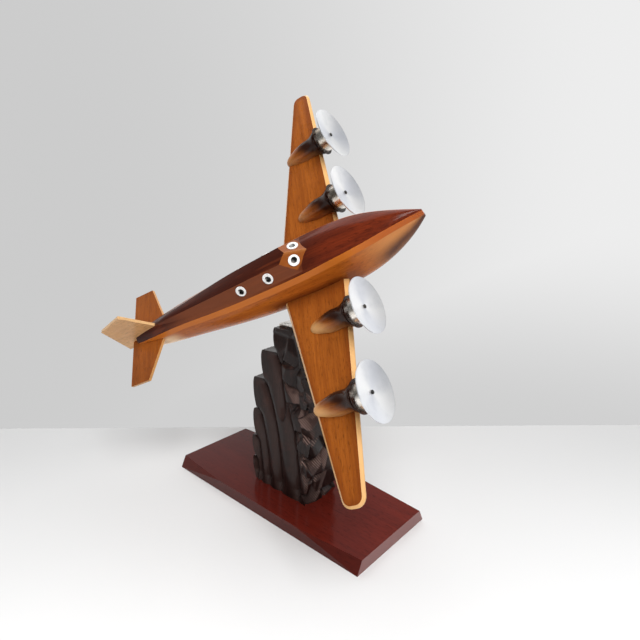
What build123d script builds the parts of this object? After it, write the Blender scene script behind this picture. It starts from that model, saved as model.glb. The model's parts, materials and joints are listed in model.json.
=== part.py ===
from build123d import *

import math
import os

# Desktop airliner model: a carved four-engined aircraft in banked, climbing
# flight over a carved rock on a chamfered base board.  Millimetres, +Z up.
# Origin: centre of the base board's underside.  The board is long along X.
#
# Aircraft frame: +X to the nose, +Y to the left (port) wing, +Z out of the
# cabin roof.  Its origin is in the wing's middle plane, at mid root chord.

# ---------------------------------------------------------------- base board
BASE_LENGTH = 260.0
BASE_WIDTH = 103.0
BASE_HEIGHT = 12.5
BEVEL_INSET = 6.3  # how far a long side leans in at the board's ends
BEVEL_RUN = 72.0  # from the board's end to where the bevel dies out

# -------------------------------------------------------------- carved rock
ROCK_RIGHT = 45.0  # x of the rock's right end at its foot
ROCK_FRONT = -23.4
ROCK_BACK = 23.4
SUMMIT_RIGHT = 43.0
SUMMIT_FRONT = -21.0
SUMMIT_BACK = 10.0
# Lobes of the rock's left flank, bottom to top: (left edge x, top z).
ROCK_STEPS = [(-37.0, 39.0), (-36.0, 64.0), (-33.0, 95.0), (-31.0, 130.0), (-18.0, 161.0), (0.0, 187.0)]
ROCK_TOP = ROCK_STEPS[-1][1]
FOOT_TUCK = 2.0  # how far the lowest lobe draws in at the board
BELLY_SHARE = 0.7  # height of a lobe's fullest point, as a share of the lobe
SHOULDER_RUN = 2.0  # rounding at the top of a lobe
STEP_NOTCH = 4.5  # how deep the rock is cut in between two lobes
CHIP_DEPTH = 5.0  # V cuts across the right end
CHIP_RISE = 2.0
CHIP_FALL = 6.0
FLUTE_RADIUS = 4.2
FLUTE_DEPTH = 2.6
FLUTE_INSET = 9.0  # from a lobe's left edge to the flute that starts there
FLUTE_STAGGER = 1.5  # how much further in each higher flute starts
FLUTE_LEAN = 0.16  # sideways run of a flute per millimetre of drop
FLUTE_RUN_OUT = 6.0  # plain wood left under a flute
OVERCUT = 2.0  # how far a cutter reaches past the wood

# ------------------------------------------------------- post and its plate
PLATE_LENGTH = 39.0
PLATE_WIDTH = 22.0
PLATE_THICK = 2.5
PLATE_CORNER = 3.0
PLATE_LEFT = 2.0  # x of the plate's left end
PLATE_MIDDLE_Y = -4.0
POST_RADIUS = 4.0
POST_X = 32.5
POST_Y = -1.3
POST_SUNK = 25.0  # depth of the post in the rock
POST_RISE = 46.0  # from the rock's summit to the post's end inside the hull
NUT_ACROSS_FLATS = 13.0
NUT_THICK = 6.5

# ------------------------------------------------------------------ attitude
FLIGHT_X = 34.5
FLIGHT_RISE = 53.7  # from the rock's summit up to the aircraft's origin
HEADING = 20.67
CLIMB = 24.1
BANK = 55.53

# ------------------------------------------------------------------ fuselage
# Carving stations, tail to nose: x, seam half-breadth, seam height,
# greatest half-breadth, keel height, crown height.
STATIONS = [
    (-213.0, 6.6, 12.4, 8.8, 1.0, 16.8),
    (-182.0, 9.8, 17.4, 12.2, -8.0, 22.8),
    (-143.0, 12.4, 21.8, 15.4, -11.5, 27.0),
    (-104.0, 15.2, 23.6, 19.0, -14.5, 29.5),
    (-65.0, 17.4, 25.6, 22.0, -17.0, 31.5),
    (-26.0, 18.8, 28.3, 23.4, -18.6, 33.6),
    (13.0, 19.0, 30.6, 23.4, -19.4, 35.0),
    (44.0, 17.2, 32.0, 21.0, -19.0, 35.6),
    (65.0, 14.2, 31.2, 17.6, -15.0, 34.4),
    (83.0, 9.8, 28.8, 12.6, -9.0, 31.4),
    (99.0, 5.2, 25.2, 7.0, -0.4, 27.2),
    (109.0, 2.2, 22.4, 3.2, 7.4, 23.8),
    (114.0, 0.7, 20.8, 1.0, 11.6, 21.6),
]
BREADTH_HEIGHT = 2.0  # height of the greatest breadth
WIDEST_SHARE = 0.45  # lowest place for the greatest breadth, from keel to strip
STRIP_DROP = 5.6  # the bevel strip under the seam, measured down
STRIP_DROP_SHARE = 0.4  # most of the hull's depth that the strip may take
STRIP_SHARE = 0.55  # how much of the flare from seam to full breadth it takes
BILGE_FULLNESS = 0.78
SEAM_INSET = 0.15  # the deck's edge stands in from the hull's edge
SEAM_INSET_SHARE = 0.2  # most of the half width that the inset may take
SPARE = 2.0  # extra height carved away at the seam
HULL_ROOM = 40.0  # more than half the hull's breadth or depth
SEAM_OVERRUN = 20.0  # how far the seam's line runs on past each end
SEAM_OVERRUN_DROP = (3.0, 6.0)  # its fall there, aft and forward

# Cabin roof, windscreen to tail: x, roof half-breadth, roof edge height.
ROOF = [
    (20.0, 9.0, 42.2),
    (-2.0, 8.8, 42.2),
    (-26.0, 8.4, 40.8),
    (-68.0, 7.6, 37.6),
    (-107.0, 5.8, 33.2),
    (-143.0, 3.8, 29.0),
    (-172.0, 1.8, 24.6),
]
ROOF_CROWN = 0.6  # rise of the roof between its edges
CABIN_FOOT_INSET = 0.9
CABIN_FOOT_SUNK = 0.3
CABIN_FOOT_DEPTH = 1.2
SCREEN_APEX_X = -1.6  # where the windscreen's ridge would meet the roof
SCREEN_APEX_Z = 42.5
SCREEN_SLOPE = 0.4313  # fall of each windscreen facet, forward and outward

# --------------------------------------------------------------------- wings
HALF_SPAN = 207.0
ROOT_LEADING = 36.0  # leading edge at the aircraft's centreline
TIP_LEADING = 24.4
ROOT_TRAILING = -36.0
TIP_TRAILING = 6.6
WING_THICK = 8.0
TIP_THICK = 5.0
WING_LAND = 1.2  # square edge left between the bevels
WING_BEVEL_ANGLE = 45.0
DIHEDRAL = 2.25
WING_ROOT = 14.0  # y of the wing's inner end, housed in the hull
TIP_ROUNDING = 0.46  # corner radius of the tip, as a share of the tip's chord

# ------------------------------------------------------------------- engines
ENGINE_SPACING_INNER = 58.2
ENGINE_SPACING_OUTER = 129.5
HUB_X_INNER = 48.9
HUB_X_OUTER = 44.7
HUB_Z_INNER = 11.5
HUB_Z_OUTER = 14.0
THRUST_TILT = 9.0  # nose-up lean of the engine's axis
NACELLE_TAIL = -56.0  # all measured from the disc's hub, along the axis
NACELLE_LIP = -10.4
NACELLE_LIP_RADIUS = 14.2
NACELLE_RADIUS = 10.4
NACELLE_SWELL = ((3.0, 0.46), (12.0, 0.74), (27.0, 0.94))  # distance from the tail, share of the radius
NACELLE_FLARE_LENGTH = 8.0
NACELLE_FLARE_MIDDLE = 3.2  # how far behind the lip the flare has opened by its share
NACELLE_FLARE_SHARE = 0.32
NACELLE_LIP_EDGE = 0.6
COLLAR_RADIUS = 11.6
COLLAR_WALL = 0.8
COLLAR_ROUNDING = 0.7
DISC_RADIUS = 24.5
DISC_DEPTH = 4.0
DISC_THICK = 0.8
DISC_FLAT_RIM = 1.0  # width of the flat round the pin's head
DISC_GAP = 0.3  # between the disc and what it turns against
PIN_RADIUS = 1.0
PIN_CLEARANCE = 0.05
PIN_DEPTH = 26.0
PIN_HEAD_RADIUS = 1.7
PIN_HEAD_THICK = 0.9
PIN_HEAD_ROUNDING = 0.54

# ---------------------------------------------------------------------- tail
TAILPLANE_HEIGHT = 10.4
TAIL_THICK = 3.0
TAIL_HALF_SPAN = 52.3
TAIL_TRAILING = -222.1
TAIL_TIP_LEADING = -196.4
TAIL_ROOT_LEADING = -172.0
FIN_TOP_REAR = (-227.0, 48.9)
FIN_TOP_FRONT = (-191.2, 58.2)
FIN_ROOT_FRONT = (-176.5, 19.4)
FIN_POST_FOOT = (-239.4, 1.3)
FIN_TENON = 1.4  # how far the fin's foot stands over the tailplane inside the deck

# ------------------------------------------------------------ window eyelets
EYELET_FLANGE = 5.0
EYELET_BORE = 2.5
EYELET_WALL = 0.6
EYELET_TUBE = EYELET_BORE + EYELET_WALL
EYELET_DEPTH = 4.5
EYELET_THICK = 0.8
EYELET_CLEARANCE = 0.1  # round the flange where it crosses the roof's edge
EYELET_SPACE = 6.0  # height kept free over a flange
SIDE_WINDOWS = (-25.8, -57.5)
SIDE_WINDOW_SHARE = 0.44  # from the roof edge towards the seam
SCREEN_WINDOW_X = 3.4
SCREEN_WINDOW_Y = 7.3

# ----------------------------------------------------------- hidden fixings
DOWEL_COVER = 1.0  # wing wood left over a dowel at the root
DOWEL_RADIUS = WING_THICK / 2 - DOWEL_COVER
POST_DOWEL_ROOM = 12.0  # from the post's skin to the rear dowels' axis, along the hull
WING_DOWELS = (18.0, -POST_RADIUS - POST_DOWEL_ROOM)
WING_DOWEL_INNER = 5.0
WING_DOWEL_OUTER = 40.0
NACELLE_DOWEL_RADIUS = 2.0
NACELLE_DOWEL_BACK = -34.0  # along the axis from the hub
NACELLE_DOWEL_UP = 4.0
NACELLE_DOWEL_DOWN = 9.0
SCREW_RADIUS = 2.0
SCREW_HEAD_RADIUS = 4.0
SCREW_SLOT_WIDTH = 0.8
SCREW_SLOT_DEPTH = 0.6
BASE_SCREW_XS = (-22.0, 10.0)
BASE_SCREW_LENGTH = 38.0
PLATE_SCREW_LENGTH = 16.0
PLATE_SCREW_INSET = 5.5
PLATE_SCREW_FREE = 4.0  # least gap between the post and a plate screw's head

FLIGHT_POINT = Location((FLIGHT_X, 0, ROCK_TOP + FLIGHT_RISE))
FLIGHT = FLIGHT_POINT * Rotation(0, 0, HEADING) * Rotation(0, -CLIMB, 0) * Rotation(BANK, 0, 0)
SIDES = {"left": 1, "right": -1}


def between(rows, x, column):
    """Value of a station column at x, straight between the two stations around it."""
    ordered = sorted(rows)
    for low, high in zip(ordered, ordered[1:]):
        if low[0] <= x <= high[0]:
            share = (x - low[0]) / (high[0] - low[0])
            return low[column] + share * (high[column] - low[column])
    raise ValueError("x is outside the stations")


def write(name, shape):
    export_step(shape, f"parts/{name}.step")


def cylinder_between(start, end, radius):
    axis = Vector(*end) - Vector(*start)
    return Solid.make_cylinder(radius, axis.length, Plane(origin=start, z_dir=axis))


# ------------------------------------------------------------------ stand
def base_board():
    half_length = BASE_LENGTH / 2
    half_width = BASE_WIDTH / 2
    board = Pos(0, 0, BASE_HEIGHT / 2) * Box(BASE_LENGTH, BASE_WIDTH, BASE_HEIGHT)
    for end in (-1, 1):
        for side in (-1, 1):
            corner = Vector(end * half_length, side * half_width, 0)
            inset = Vector(end * half_length, side * (half_width - BEVEL_INSET), BASE_HEIGHT)
            dies_out = Vector(end * (half_length - BEVEL_RUN), side * half_width, BASE_HEIGHT)
            normal = (inset - corner).cross(dies_out - corner).normalized()
            if normal.Y * side < 0:
                normal = -normal
            cutter = Plane(origin=corner, z_dir=normal) * Pos(0, 0, BASE_WIDTH / 2)
            board -= cutter * Box(2 * BASE_LENGTH, 2 * BASE_LENGTH, BASE_WIDTH)
    for x, y in base_screw_places():
        board -= screw_space(x, y, 0.0, 1, BASE_SCREW_LENGTH)
    return board


def base_screw_places():
    return [(x, 0.0) for x in BASE_SCREW_XS]


def screw_space(x, y, z, way, length):
    """Countersunk screw with its head's flat at z, pointing up (way 1) or down (way -1)."""
    head = Cone(SCREW_HEAD_RADIUS, SCREW_RADIUS, SCREW_HEAD_RADIUS - SCREW_RADIUS)
    head = Pos(0, 0, (SCREW_HEAD_RADIUS - SCREW_RADIUS) / 2) * head
    shank = Pos(0, 0, length / 2) * Cylinder(SCREW_RADIUS, length)
    screw = head + shank
    if way < 0:
        screw = Rotation(180, 0, 0) * screw
    return Pos(x, y, z) * screw


def wood_screw(x, y, z, way, length):
    slot = Box(2 * SCREW_HEAD_RADIUS, SCREW_SLOT_WIDTH, 2 * SCREW_SLOT_DEPTH)
    return screw_space(x, y, z, way, length) - Pos(x, y, z) * slot


def notch_over(number):
    """Inner end of the cut over a lobe; over the last lobe, the summit's right corner."""
    left, top = ROCK_STEPS[number]
    if number + 1 == len(ROCK_STEPS):
        return (SUMMIT_RIGHT, top)
    next_left = ROCK_STEPS[number + 1][0]
    return (max(left, next_left) + STEP_NOTCH, top)


def rock_outline():
    """Front outline of the rock: a steep right end and rounded lobes up the left flank."""
    foot = (ROCK_STEPS[0][0] + FOOT_TUCK, BASE_HEIGHT)
    right_foot = (ROCK_RIGHT, BASE_HEIGHT)
    start = foot
    edges = []
    for number, (left, top) in enumerate(ROCK_STEPS):
        belly = (left, start[1] + BELLY_SHARE * (top - start[1]))
        shoulder = (left + SHOULDER_RUN, top)
        edges.append(Spline(start, belly, shoulder))
        start = notch_over(number)
        edges.append(Line(shoulder, start))
    edges.append(Line(start, right_foot))
    edges.append(Line(right_foot, foot))
    return Plane.XZ * make_face(edges)


def rock_side():
    """Outline of the rock seen from its right end."""
    corners = [
        (ROCK_FRONT, BASE_HEIGHT),
        (ROCK_BACK, BASE_HEIGHT),
        (SUMMIT_BACK, ROCK_TOP),
        (SUMMIT_FRONT, ROCK_TOP),
    ]
    return Plane.YZ * make_face(Polyline(*corners, close=True))


def up_the_rock(z, foot_value, summit_value):
    share = (z - BASE_HEIGHT) / (ROCK_TOP - BASE_HEIGHT)
    return foot_value + share * (summit_value - foot_value)


def chip(z):
    """V cut across the right end of the rock, with its tip at height z."""
    edge = up_the_rock(z, ROCK_RIGHT, SUMMIT_RIGHT)
    corners = [(edge - CHIP_DEPTH, z), (edge + OVERCUT, z - CHIP_FALL), (edge + OVERCUT, z + CHIP_RISE)]
    wedge = Plane.XZ * make_face(Polyline(*corners, close=True))
    return extrude(wedge, amount=ROCK_BACK + OVERCUT, both=True)


def flute(number):
    """Round groove down the front of the rock from the top of a lobe."""
    left, top = ROCK_STEPS[number]
    start_x = left + FLUTE_INSET + FLUTE_STAGGER * number
    start_z = top + OVERCUT
    end_z = BASE_HEIGHT + FLUTE_RUN_OUT
    out = FLUTE_RADIUS - FLUTE_DEPTH
    start = (start_x, up_the_rock(start_z, ROCK_FRONT, SUMMIT_FRONT) - out, start_z)
    end_x = start_x + FLUTE_LEAN * (start_z - end_z)
    end = (end_x, up_the_rock(end_z, ROCK_FRONT, SUMMIT_FRONT) - out, end_z)
    return cylinder_between(start, end, FLUTE_RADIUS)


def rock_stand():
    rock = extrude(rock_outline(), amount=ROCK_BACK, both=True)
    rock &= extrude(rock_side(), amount=BASE_LENGTH / 2, both=True)
    for number in range(len(ROCK_STEPS)):
        rock -= flute(number)
    for left, top in ROCK_STEPS[:-1]:
        rock -= chip(top)
    rock -= post_shape()
    for x, y in base_screw_places():
        rock -= screw_space(x, y, 0.0, 1, BASE_SCREW_LENGTH)
    for x, y in plate_screw_places():
        rock -= screw_space(x, y, ROCK_TOP + PLATE_THICK, -1, PLATE_SCREW_LENGTH)
    return rock


def post_shape():
    length = POST_SUNK + POST_RISE
    middle = ROCK_TOP + POST_RISE - length / 2
    return Pos(POST_X, POST_Y, middle) * Cylinder(POST_RADIUS, length)


def plate_screw_places():
    left = PLATE_LEFT + PLATE_SCREW_INSET
    right = PLATE_LEFT + PLATE_LENGTH - PLATE_SCREW_INSET
    reach = PLATE_WIDTH / 2 - PLATE_SCREW_INSET
    spots = [(left, -reach), (left, reach), (right, -reach), (right, reach)]
    free = POST_RADIUS + PLATE_SCREW_FREE + SCREW_HEAD_RADIUS
    places = [(x, PLATE_MIDDLE_Y + y) for x, y in spots]
    return [(x, y) for x, y in places if math.hypot(x - POST_X, y - POST_Y) > free]


def mounting_plate():
    plate = Box(PLATE_LENGTH, PLATE_WIDTH, PLATE_THICK)
    plate = fillet(plate.edges().filter_by(Axis.Z), PLATE_CORNER)
    plate = Pos(PLATE_LEFT + PLATE_LENGTH / 2, PLATE_MIDDLE_Y, ROCK_TOP + PLATE_THICK / 2) * plate
    plate -= post_shape()
    for x, y in plate_screw_places():
        plate -= screw_space(x, y, ROCK_TOP + PLATE_THICK, -1, PLATE_SCREW_LENGTH)
    return plate


def post_nut():
    z = ROCK_TOP + PLATE_THICK + NUT_THICK / 2
    hexagon = RegularPolygon(NUT_ACROSS_FLATS / 2, 6, major_radius=False)
    nut = Pos(POST_X, POST_Y, z) * extrude(hexagon, amount=NUT_THICK / 2, both=True)
    return nut - post_shape()


# --------------------------------------------------------------- fuselage
def section_hull(station):
    x, seam, seam_z, breadth, keel = station[:5]
    strip_y = seam + STRIP_SHARE * (breadth - seam)
    drop = min(STRIP_DROP, STRIP_DROP_SHARE * (seam_z - keel))
    strip_z = seam_z - drop
    above_y = seam - SPARE * (strip_y - seam) / drop
    widest = min(BREADTH_HEIGHT, strip_z) if strip_z > BREADTH_HEIGHT else strip_z
    widest = max(widest, keel + WIDEST_SHARE * (strip_z - keel))
    bilge_y = BILGE_FULLNESS * breadth
    bilge_z = widest - BILGE_FULLNESS * (widest - keel)
    top = (x, above_y, seam_z + SPARE), (x, -above_y, seam_z + SPARE)
    strip = (x, strip_y, strip_z), (x, -strip_y, strip_z)
    bottom = Spline(
        strip[0],
        (x, breadth, widest),
        (x, bilge_y, bilge_z),
        (x, 0, keel),
        (x, -bilge_y, bilge_z),
        (x, -breadth, widest),
        strip[1],
    )
    return Wire([Line(top[1], top[0]), Line(top[0], strip[0]), bottom, Line(strip[1], top[1])])


def section_deck(station):
    x, seam, seam_z = station[:3]
    crown = station[5]
    edge = seam - min(SEAM_INSET, SEAM_INSET_SHARE * seam)
    foot = seam_z - SPARE
    arc = ThreePointArc((x, edge, seam_z), (x, 0, crown), (x, -edge, seam_z))
    side_left = Line((x, edge, foot), (x, edge, seam_z))
    side_right = Line((x, -edge, seam_z), (x, -edge, foot))
    return Wire([Line((x, -edge, foot), (x, edge, foot)), side_left, arc, side_right])


def section_cabin(row):
    x, roof, roof_z = row
    foot_y = between(STATIONS, x, 1) - CABIN_FOOT_INSET
    foot_z = between(STATIONS, x, 2) - CABIN_FOOT_SUNK
    low = foot_z - CABIN_FOOT_DEPTH
    crown = (x, 0, roof_z + ROOF_CROWN)
    edges = [
        Line((x, -foot_y, low), (x, foot_y, low)),
        Line((x, foot_y, low), (x, foot_y, foot_z)),
        Line((x, foot_y, foot_z), (x, roof, roof_z)),
        ThreePointArc((x, roof, roof_z), crown, (x, -roof, roof_z)),
        Line((x, -roof, roof_z), (x, -foot_y, foot_z)),
        Line((x, -foot_y, foot_z), (x, -foot_y, low)),
    ]
    return Wire(edges)


def below_seam():
    """Everything under the glue joint between hull and deck."""
    seam = [(station[0], station[2]) for station in STATIONS]
    tail_end = (seam[0][0] - SEAM_OVERRUN, seam[0][1] - SEAM_OVERRUN_DROP[0])
    nose_end = (seam[-1][0] + SEAM_OVERRUN, seam[-1][1] - SEAM_OVERRUN_DROP[1])
    depth = -2 * HULL_ROOM
    edges = [
        Line(tail_end, seam[0]),
        Spline(seam),
        Line(seam[-1], nose_end),
        Line(nose_end, (nose_end[0], depth)),
        Line((nose_end[0], depth), (tail_end[0], depth)),
        Line((tail_end[0], depth), tail_end),
    ]
    return extrude(Plane.XZ * make_face(edges), amount=HULL_ROOM, both=True)


def screen_plane(side):
    apex = (SCREEN_APEX_X, 0, SCREEN_APEX_Z)
    normal = (SCREEN_SLOPE, side * SCREEN_SLOPE, 1)
    return Plane(origin=apex, x_dir=(1, 0, -SCREEN_SLOPE), z_dir=normal)


def cabin():
    body = Solid.make_loft([section_cabin(row) for row in sorted(ROOF)])
    for side in SIDES.values():
        body -= screen_plane(side) * Pos(0, 0, HULL_ROOM / 2) * Box(5 * HULL_ROOM, 5 * HULL_ROOM, HULL_ROOM)
    return body


def window_planes():
    """Seat of each window eyelet: name, and a plane whose Z leaves the wood."""
    seats = {}
    for side_name, side in SIDES.items():
        z = SCREEN_APEX_Z - SCREEN_SLOPE * (SCREEN_WINDOW_X - SCREEN_APEX_X + SCREEN_WINDOW_Y)
        normal = (SCREEN_SLOPE, side * SCREEN_SLOPE, 1)
        point = (SCREEN_WINDOW_X, side * SCREEN_WINDOW_Y, z)
        seats[f"screen_eyelet_{side_name}"] = Plane(origin=point, z_dir=normal)
        for place, x in zip(("front", "rear"), SIDE_WINDOWS):
            roof = between(ROOF, x, 1)
            roof_z = between(ROOF, x, 2)
            foot = between(STATIONS, x, 1) - CABIN_FOOT_INSET
            foot_z = between(STATIONS, x, 2) - CABIN_FOOT_SUNK
            y = roof + SIDE_WINDOW_SHARE * (foot - roof)
            z = roof_z + SIDE_WINDOW_SHARE * (foot_z - roof_z)
            normal = (0, side * (roof_z - foot_z), foot - roof)
            seats[f"side_eyelet_{side_name}_{place}"] = Plane(origin=(x, side * y, z), z_dir=normal)
    return seats


def eyelet(seat):
    tube = Pos(0, 0, -EYELET_DEPTH / 2) * Cylinder(EYELET_TUBE, EYELET_DEPTH)
    flange = Pos(0, 0, EYELET_THICK / 2) * Cylinder(EYELET_FLANGE, EYELET_THICK)
    flange = fillet(flange.edges().group_by(Axis.Z)[-1], 0.5 * EYELET_THICK)
    body = tube + flange - Cylinder(EYELET_BORE, 4 * EYELET_DEPTH)
    return seat * body


def fuselage_deck(fin_shape):
    deck = Solid.make_loft([section_deck(station) for station in STATIONS])
    deck = deck + cabin() - below_seam()
    for seat in window_planes().values():
        deck -= seat * Pos(0, 0, -EYELET_DEPTH / 2) * Cylinder(EYELET_TUBE, EYELET_DEPTH)
        deck -= seat * Pos(0, 0, EYELET_SPACE / 2) * Cylinder(EYELET_FLANGE + EYELET_CLEARANCE, EYELET_SPACE)
    return deck - fin_shape


# ------------------------------------------------------------------- wings
def wing_plan():
    slope = (TIP_LEADING - ROOT_LEADING) / HALF_SPAN
    back_slope = (TIP_TRAILING - ROOT_TRAILING) / HALF_SPAN
    corners = [
        (ROOT_LEADING + slope * WING_ROOT, WING_ROOT),
        (TIP_LEADING, HALF_SPAN),
        (TIP_TRAILING, HALF_SPAN),
        (ROOT_TRAILING + back_slope * WING_ROOT, WING_ROOT),
    ]
    plan = make_face(Polyline(*corners, close=True))
    tip = plan.vertices().group_by(Axis.Y)[-1]
    return fillet(tip, TIP_ROUNDING * (TIP_LEADING - TIP_TRAILING))


def wing(side):
    plan = wing_plan()
    half_land = WING_LAND / 2
    rise = WING_THICK / 2 - half_land
    middle = extrude(plan, amount=half_land, both=True)
    upper = Pos(0, 0, half_land) * extrude(plan, amount=rise, taper=WING_BEVEL_ANGLE)
    board = middle + upper + mirror(upper, Plane.XY)
    # The board tapers in thickness from root to tip.
    beyond = HALF_SPAN + OVERCUT
    taper = [
        (0, WING_THICK / 2),
        (beyond, TIP_THICK / 2),
        (beyond, -TIP_THICK / 2),
        (0, -WING_THICK / 2),
    ]
    board &= extrude(Plane.YZ * make_face(Polyline(*taper, close=True)), amount=2 * ROOT_LEADING, both=True)
    board = Rotation(DIHEDRAL, 0, 0) * board
    return board if side > 0 else mirror(board, Plane.XZ)


def wing_dowels(side):
    spots = []
    for x in WING_DOWELS:
        dowel = cylinder_between((x, WING_DOWEL_INNER, 0), (x, WING_DOWEL_OUTER, 0), DOWEL_RADIUS)
        dowel = Rotation(DIHEDRAL, 0, 0) * dowel
        spots.append(dowel if side > 0 else mirror(dowel, Plane.XZ))
    return spots


# ----------------------------------------------------------------- engines
def engine_frame(side, place):
    if place == "inner":
        point = (HUB_X_INNER, side * ENGINE_SPACING_INNER, HUB_Z_INNER)
    else:
        point = (HUB_X_OUTER, side * ENGINE_SPACING_OUTER, HUB_Z_OUTER)
    return Location(point) * Rotation(0, -THRUST_TILT, 0)


def turned(edges):
    """Solid of revolution about the engine's axis, from an outline above it."""
    return revolve(Plane.XZ * make_face(edges), Axis.X)


def on_axis(middle, radius, length):
    """Cylinder along the engine's axis."""
    return Pos(middle, 0, 0) * Rotation(0, 90, 0) * Cylinder(radius, length)


def nacelle_body():
    flare = NACELLE_LIP_RADIUS - NACELLE_RADIUS
    points = [(NACELLE_TAIL, 0)]
    points += [(NACELLE_TAIL + run, share * NACELLE_RADIUS) for run, share in NACELLE_SWELL]
    points += [
        (NACELLE_LIP - NACELLE_FLARE_LENGTH, NACELLE_RADIUS),
        (NACELLE_LIP - NACELLE_FLARE_MIDDLE, NACELLE_RADIUS + NACELLE_FLARE_SHARE * flare),
        (NACELLE_LIP - NACELLE_LIP_EDGE, NACELLE_LIP_RADIUS),
    ]
    outline = [
        Spline(points, tangents=[(0, 1), (0.55, 1)]),
        Line(points[-1], (NACELLE_LIP, NACELLE_LIP_RADIUS)),
        Line((NACELLE_LIP, NACELLE_LIP_RADIUS), (NACELLE_LIP, 0)),
        Line((NACELLE_LIP, 0), (NACELLE_TAIL, 0)),
    ]
    return turned(outline)


def nacelle_dowel(frame):
    axis_point = frame * Pos(NACELLE_DOWEL_BACK, 0, 0)
    at = axis_point.position
    return cylinder_between(
        (at.X, at.Y, at.Z - NACELLE_DOWEL_DOWN),
        (at.X, at.Y, at.Z + NACELLE_DOWEL_UP),
        NACELLE_DOWEL_RADIUS,
    )


def collar_front():
    return -DISC_THICK - DISC_GAP


def collar():
    length = collar_front() - NACELLE_LIP
    middle = NACELLE_LIP + length / 2
    ring = on_axis(middle, COLLAR_RADIUS, length)
    ring = fillet(ring.edges().group_by(Axis.X)[-1], COLLAR_ROUNDING)
    hollow = on_axis(middle - COLLAR_WALL, COLLAR_RADIUS - COLLAR_WALL, length)
    return ring - hollow - disc_pin()


def propeller_disc():
    """Dished disc with a small flat round its bore; the hub is the origin."""
    bore = PIN_RADIUS + PIN_CLEARANCE
    flat = PIN_HEAD_RADIUS + DISC_FLAT_RIM
    middle = 0.5 * (flat + DISC_RADIUS)
    sag = DISC_DEPTH * ((middle - flat) / (DISC_RADIUS - flat)) ** 2
    front = ThreePointArc((0, flat), (sag, middle), (DISC_DEPTH, DISC_RADIUS))
    rim_back = (DISC_DEPTH - DISC_THICK, DISC_RADIUS)
    back = ThreePointArc(rim_back, (sag - DISC_THICK, middle), (-DISC_THICK, flat))
    outline = [
        Line((0, bore), (0, flat)),
        front,
        Line((DISC_DEPTH, DISC_RADIUS), rim_back),
        back,
        Line((-DISC_THICK, flat), (-DISC_THICK, bore)),
        Line((-DISC_THICK, bore), (0, bore)),
    ]
    return turned(outline)


def disc_pin():
    shank = on_axis((DISC_GAP - PIN_DEPTH) / 2, PIN_RADIUS, PIN_DEPTH + DISC_GAP)
    head = on_axis(DISC_GAP + PIN_HEAD_THICK / 2, PIN_HEAD_RADIUS, PIN_HEAD_THICK)
    head = fillet(head.edges().group_by(Axis.X)[-1], PIN_HEAD_ROUNDING)
    return shank + head


# -------------------------------------------------------------------- tail
def tailplane():
    corners = [
        (TAIL_ROOT_LEADING, 0),
        (TAIL_TIP_LEADING, TAIL_HALF_SPAN),
        (TAIL_TRAILING, TAIL_HALF_SPAN),
        (TAIL_TRAILING, -TAIL_HALF_SPAN),
        (TAIL_TIP_LEADING, -TAIL_HALF_SPAN),
    ]
    plan = make_face(Polyline(*corners, close=True))
    return Pos(0, 0, TAILPLANE_HEIGHT) * extrude(plan, amount=TAIL_THICK / 2, both=True)


def fin():
    on_tailplane = TAILPLANE_HEIGHT + TAIL_THICK / 2
    outline = [
        FIN_TOP_REAR,
        FIN_TOP_FRONT,
        FIN_ROOT_FRONT,
        (STATIONS[0][0], on_tailplane + FIN_TENON),
        (STATIONS[0][0], on_tailplane),
        (TAIL_TRAILING, on_tailplane),
        (TAIL_TRAILING, FIN_POST_FOOT[1]),
        FIN_POST_FOOT,
    ]
    plan = Plane.XZ * make_face(Polyline(*outline, close=True))
    return extrude(plan, amount=TAIL_THICK / 2, both=True)


# ---------------------------------------------------------------- assembly
os.makedirs("parts", exist_ok=True)

write("base_board", base_board())
write("rock_stand", rock_stand())
base_screws = [wood_screw(x, y, 0.0, 1, BASE_SCREW_LENGTH) for x, y in base_screw_places()]
write("base_screws", Compound(base_screws))
write("mounting_plate", mounting_plate())
plate_z = ROCK_TOP + PLATE_THICK
plate_screws = [wood_screw(x, y, plate_z, -1, PLATE_SCREW_LENGTH) for x, y in plate_screw_places()]
write("plate_screws", Compound(plate_screws))
write("support_post", post_shape())
write("post_nut", post_nut())

wings = {name: wing(side) for name, side in SIDES.items()}
dowels = {name: wing_dowels(side) for name, side in SIDES.items()}
tail_board = tailplane()
fin_board = fin()

hull = Solid.make_loft([section_hull(station) for station in STATIONS]) & below_seam()
hull = hull - wings["left"] - wings["right"] - tail_board - (FLIGHT.inverse() * post_shape())
for pair in dowels.values():
    for dowel in pair:
        hull -= dowel
write("fuselage_hull", FLIGHT * hull)
write("fuselage_deck", FLIGHT * fuselage_deck(fin_board))
write("tailplane", FLIGHT * tail_board)
write("fin", FLIGHT * fin_board)
for window, seat in window_planes().items():
    write(window, FLIGHT * eyelet(seat))

nacelle_blank = nacelle_body()
for name, side in SIDES.items():
    board = wings[name]
    for dowel in dowels[name]:
        board -= dowel
    for place in ("inner", "outer"):
        frame = engine_frame(side, place)
        pin = frame * disc_pin()
        peg = nacelle_dowel(frame)
        pod = frame * nacelle_blank - wings[name] - pin - peg
        board = board - peg - pin
        write(f"nacelle_{name}_{place}", FLIGHT * pod)
        write(f"nacelle_dowel_{name}_{place}", FLIGHT * peg)
        write(f"collar_{name}_{place}", FLIGHT * frame * collar())
        write(f"propeller_disc_{name}_{place}", FLIGHT * frame * propeller_disc())
        write(f"disc_pin_{name}_{place}", FLIGHT * pin)
    write(f"wing_{name}", FLIGHT * board)
    write(f"wing_dowels_{name}", FLIGHT * Compound(dowels[name]))
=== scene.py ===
import json
import math
import random

import bmesh
import bpy
import numpy as np
from mathutils import Matrix, Vector

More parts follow.
